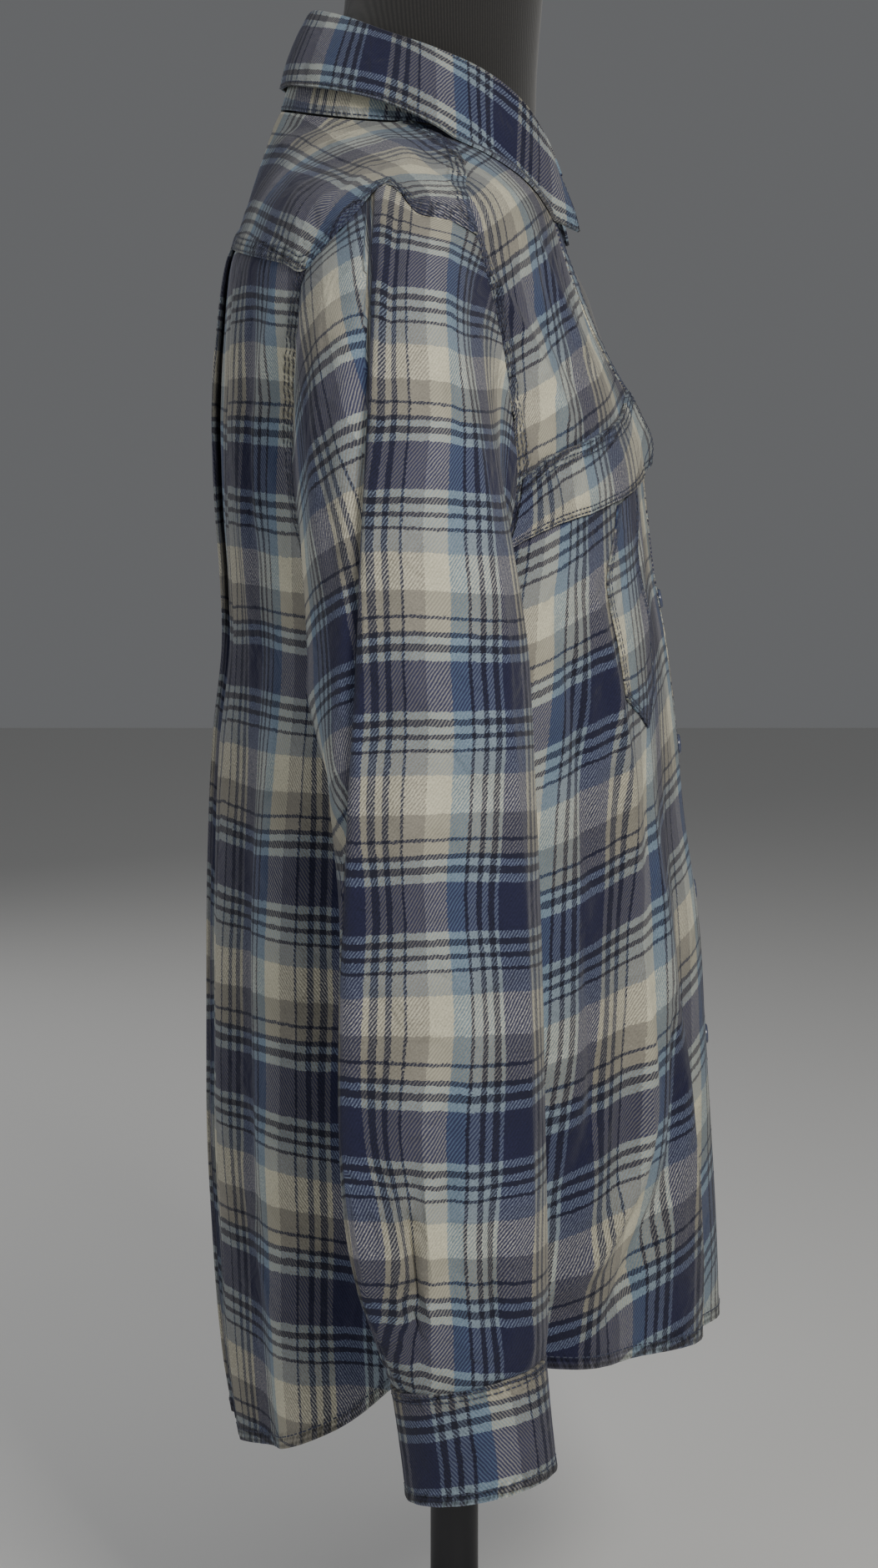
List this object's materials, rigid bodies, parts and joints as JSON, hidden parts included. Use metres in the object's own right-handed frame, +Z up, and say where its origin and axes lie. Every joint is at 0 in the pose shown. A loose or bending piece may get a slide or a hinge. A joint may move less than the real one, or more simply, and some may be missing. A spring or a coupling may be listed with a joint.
{
  "type": "flannel shirt on a dress form",
  "caption": "Long-sleeved plaid flannel shirt, open at the neck, hanging on a limbless dress form with a short round stand.",
  "frame": {"origin": "centre of the underside of the stand's round foot", "axes": "+Z up; the wearer faces -Y; the wearer's right side is -X"},
  "size_m": [0.6176, 0.2984, 1.003],
  "materials": {
    "flannel": "brushed yarn-dyed plaid twill",
    "flannel_double": "brushed plaid twill, doubled with interlining and edge stitched",
    "button": "moulded, polished, four holes",
    "jersey": "knitted cover stretched over foam",
    "steel": "powder coated, satin"
  },
  "bodies": {
    "root": {"back_panel": "flannel", "yoke": "flannel", "front_right": "flannel", "front_left": "flannel", "sleeve_right": "flannel", "sleeve_left": "flannel", "placket_right": "flannel", "placket_left": "flannel", "pocket_right": "flannel", "pocket_left": "flannel", "band_right": "flannel_double", "band_left": "flannel_double", "collar_stand": "flannel_double", "collar_leaf": "flannel_double", "cuff_right": "flannel_double", "cuff_left": "flannel_double", "flap_right": "flannel_double", "flap_left": "flannel_double", "front_button_1": "button", "front_button_2": "button", "front_button_3": "button", "front_button_4": "button", "front_button_5": "button", "band_button": "button", "cuff_button_right": "button", "cuff_button_left": "button", "dress_form": "jersey", "stand_pole": "steel", "stand_base": "steel"}
  },
  "joints": []
}
